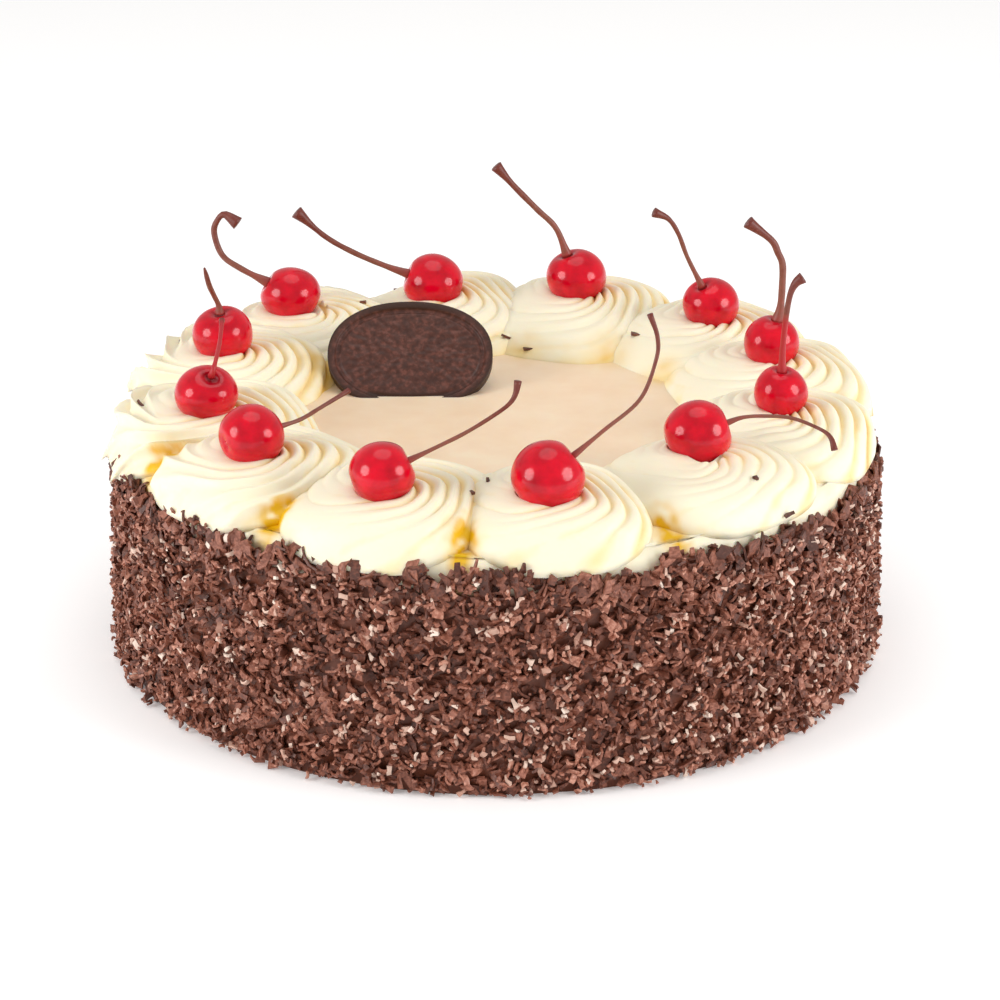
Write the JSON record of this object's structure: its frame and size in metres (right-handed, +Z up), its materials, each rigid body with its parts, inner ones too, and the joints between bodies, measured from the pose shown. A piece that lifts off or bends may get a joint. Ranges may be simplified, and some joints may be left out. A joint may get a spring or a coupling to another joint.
{
  "type": "black forest cake",
  "caption": "Whole round black forest cake: flaked chocolate side, piped cream rosettes with stemmed cherries round the rim, and an oval chocolate plaque.",
  "frame": {"origin": "centre of the cake's round underside, on the surface it stands on", "axes": "+Z up through the cake; +Y away from the viewer of the picture, with the plaque behind and left of the middle; +X to the viewer's right"},
  "size_m": [0.2296, 0.2299, 0.1224],
  "materials": {
    "flaked_cake": "cream-coated cake covered in dark chocolate flakes",
    "cream": "soft satin whipped cream",
    "cherry": "glossy syrup-coated cherry skin",
    "stem": "dry brown-red cherry stem",
    "chocolate": "moulded dark chocolate with a soft sheen"
  },
  "bodies": {
    "root": {"cake_body": "flaked_cake", "rosette_01": "cream", "cherry_01": "cherry", "cherry_stem_01": "stem", "rosette_02": "cream", "cherry_02": "cherry", "cherry_stem_02": "stem", "rosette_03": "cream", "cherry_03": "cherry", "cherry_stem_03": "stem", "rosette_04": "cream", "cherry_04": "cherry", "cherry_stem_04": "stem", "rosette_05": "cream", "cherry_05": "cherry", "cherry_stem_05": "stem", "rosette_06": "cream", "cherry_06": "cherry", "cherry_stem_06": "stem", "rosette_07": "cream", "cherry_07": "cherry", "cherry_stem_07": "stem", "rosette_08": "cream", "cherry_08": "cherry", "cherry_stem_08": "stem", "rosette_09": "cream", "cherry_09": "cherry", "cherry_stem_09": "stem", "rosette_10": "cream", "cherry_10": "cherry", "cherry_stem_10": "stem", "rosette_11": "cream", "cherry_11": "cherry", "cherry_stem_11": "stem", "rosette_12": "cream", "cherry_12": "cherry", "cherry_stem_12": "stem", "plaque": "chocolate"}
  },
  "joints": []
}
